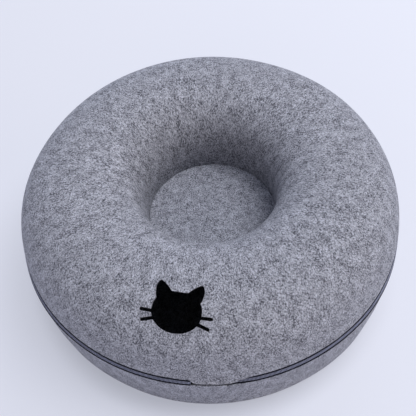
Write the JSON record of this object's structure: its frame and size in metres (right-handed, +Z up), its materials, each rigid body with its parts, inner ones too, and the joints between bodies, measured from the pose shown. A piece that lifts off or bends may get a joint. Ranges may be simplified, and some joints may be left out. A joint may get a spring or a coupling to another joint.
{
  "type": "felt cat bed",
  "caption": "Round felt cat bed: a hollow ring tunnel in two zipped half shells, with a sunken matted top, a back entrance and a cat-head peephole.",
  "frame": {"origin": "on the ring's axis, at the level of the flat base", "axes": "+Z up along the ring's axis; -Y towards the sewn lip at the front; +Y towards the entrance at the back"},
  "size_m": [0.5012, 0.4945, 0.186],
  "materials": {
    "felt": "pressed heather grey felt",
    "mat_felt": "flat needle felt",
    "zip_tape": "woven polyester tape",
    "zip_coil": "nylon coil",
    "zip_metal": "dark zinc"
  },
  "bodies": {
    "lower_half": {"lower_shell": "felt", "tape_lower_left": "zip_tape", "coil_lower_left": "zip_coil", "stop_lower_left": "zip_metal", "tape_lower_right": "zip_tape", "coil_lower_right": "zip_coil", "stop_lower_right": "zip_metal", "tape_lower_neck": "zip_tape", "coil_lower_neck": "zip_coil", "stop_lower_neck": "zip_metal"},
    "upper_half": {"upper_shell": "felt", "tape_upper_left": "zip_tape", "coil_upper_left": "zip_coil", "stop_upper_left": "zip_metal", "tape_upper_right": "zip_tape", "coil_upper_right": "zip_coil", "stop_upper_right": "zip_metal", "tape_upper_neck": "zip_tape", "coil_upper_neck": "zip_coil", "stop_upper_neck": "zip_metal"},
    "slider_left": {"slider_left": "zip_metal"},
    "slider_right": {"slider_right": "zip_metal"},
    "slider_neck": {"slider_neck": "zip_metal"},
    "pull_left": {"pull_left": "zip_metal"},
    "pull_right": {"pull_right": "zip_metal"},
    "pull_neck": {"pull_neck": "zip_metal"},
    "centre_mat": {"centre_mat": "mat_felt"}
  },
  "joints": [
    {"name": "upper_half_hinge", "type": "hinge", "parent": "lower_half", "child": "upper_half", "pos_m": [0, -0.2505, 0.0888], "axis": [1, 0, 0], "range_deg": [0, 170]},
    {"name": "mat_lift", "type": "slide", "parent": "upper_half", "child": "centre_mat", "axis": [0, 0, 1], "range_m": [0, 0.2]},
    {"name": "slider_left_travel", "type": "hinge", "parent": "lower_half", "child": "slider_left", "pos_m": [0, 0, 0.094], "axis": [0, 0, 1], "range_deg": [0, 151.5]},
    {"name": "slider_right_travel", "type": "hinge", "parent": "lower_half", "child": "slider_right", "pos_m": [0, 0, 0.094], "axis": [0, 0, -1], "range_deg": [0, 148]},
    {"name": "slider_neck_travel", "type": "hinge", "parent": "lower_half", "child": "slider_neck", "pos_m": [0, 0, 0.06], "axis": [0, 0, -1], "range_deg": [0, 339]},
    {"name": "pull_left_flip", "type": "hinge", "parent": "slider_left", "child": "pull_left", "pos_m": [-0.08952, 0.23658, 0.094], "axis": [0, 0, -1], "range_deg": [0, 170]},
    {"name": "pull_right_flip", "type": "hinge", "parent": "slider_right", "child": "pull_right", "pos_m": [0.08952, 0.23658, 0.094], "axis": [0, 0, 1], "range_deg": [0, 170]},
    {"name": "pull_neck_flip", "type": "hinge", "parent": "slider_neck", "child": "pull_neck", "pos_m": [0.01188, 0.05572, 0.06], "axis": [0, 0, -1], "range_deg": [0, 116]}
  ]
}
